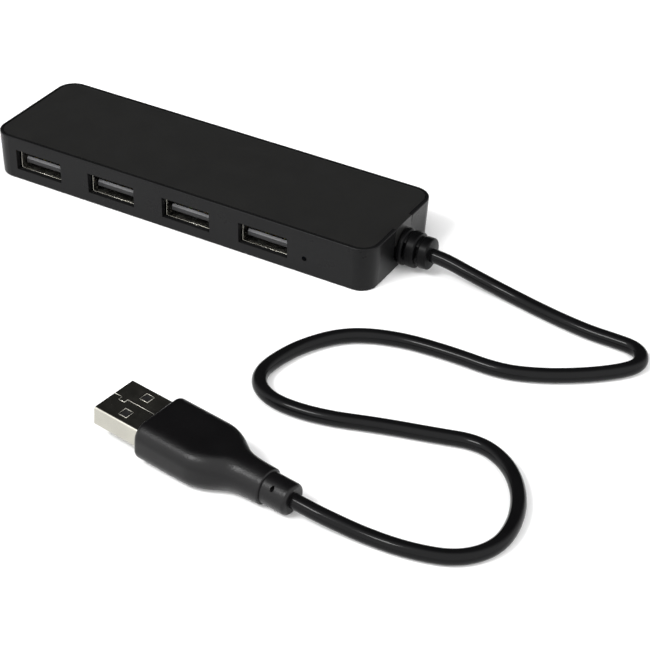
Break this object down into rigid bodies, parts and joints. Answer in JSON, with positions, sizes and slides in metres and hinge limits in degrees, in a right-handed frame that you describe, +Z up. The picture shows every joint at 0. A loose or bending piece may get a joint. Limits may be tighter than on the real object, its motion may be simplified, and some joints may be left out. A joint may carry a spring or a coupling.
{
  "type": "usb hub",
  "caption": "Slim oblong USB hub with a row of type A sockets along one long side and a captive cord with a type A plug.",
  "frame": {"origin": "centre of the case's flat underside", "axes": "+X along the case towards the end where the cord leaves, +Z up, the sockets open towards -Y"},
  "size_m": [0.1695, 0.1125, 0.0116],
  "materials": {
    "case_plastic": "fine satin moulded black",
    "cover_plastic": "fine satin moulded black",
    "board_laminate": "green solder mask",
    "chip_epoxy": "matte moulded",
    "tinned_metal": "bright tinned",
    "crystal_steel": "satin drawn can",
    "capacitor_aluminium": "satin can on a black foot",
    "capacitor_ceramic": "matte ceramic with tinned ends",
    "resistor_body": "matte with tinned ends",
    "led_lens": "clear tinted lens",
    "socket_steel": "nickel plated sheet",
    "socket_insulator": "matte moulded",
    "contact_metal": "gold flashed",
    "relief_rubber": "satin",
    "wire_red": "satin insulation",
    "wire_white": "satin insulation",
    "wire_green": "satin insulation",
    "wire_black": "satin insulation",
    "solder": "bright",
    "cord_jacket": "glossy jacket",
    "grip_plastic": "satin moulded black",
    "plug_steel": "nickel plated sheet"
  },
  "bodies": {
    "root": {"bottom_case": "case_plastic", "top_cover": "cover_plastic", "circuit_board": "board_laminate", "hub_controller_chip": "chip_epoxy", "controller_leads": "tinned_metal", "crystal_can": "crystal_steel", "reservoir_capacitors": "capacitor_aluminium", "ceramic_capacitors": "capacitor_ceramic", "resistors": "resistor_body", "status_led": "led_lens", "led_leads": "tinned_metal", "port_1_shell": "socket_steel", "port_1_tongue": "socket_insulator", "port_1_contact_springs": "contact_metal", "port_1_contact_tails": "tinned_metal", "port_2_shell": "socket_steel", "port_2_tongue": "socket_insulator", "port_2_contact_springs": "contact_metal", "port_2_contact_tails": "tinned_metal", "port_3_shell": "socket_steel", "port_3_tongue": "socket_insulator", "port_3_contact_springs": "contact_metal", "port_3_contact_tails": "tinned_metal", "port_4_shell": "socket_steel", "port_4_tongue": "socket_insulator", "port_4_contact_springs": "contact_metal", "port_4_contact_tails": "tinned_metal", "cord_strain_relief": "relief_rubber", "wire_power_red": "wire_red", "wire_data_white": "wire_white", "wire_data_green": "wire_green", "wire_ground_black": "wire_black", "cable_solder_joints": "solder", "cord": "cord_jacket", "plug_grip": "grip_plastic", "plug_collar": "grip_plastic", "plug_shell": "plug_steel", "plug_insulator": "socket_insulator", "plug_contacts": "contact_metal"}
  },
  "joints": []
}
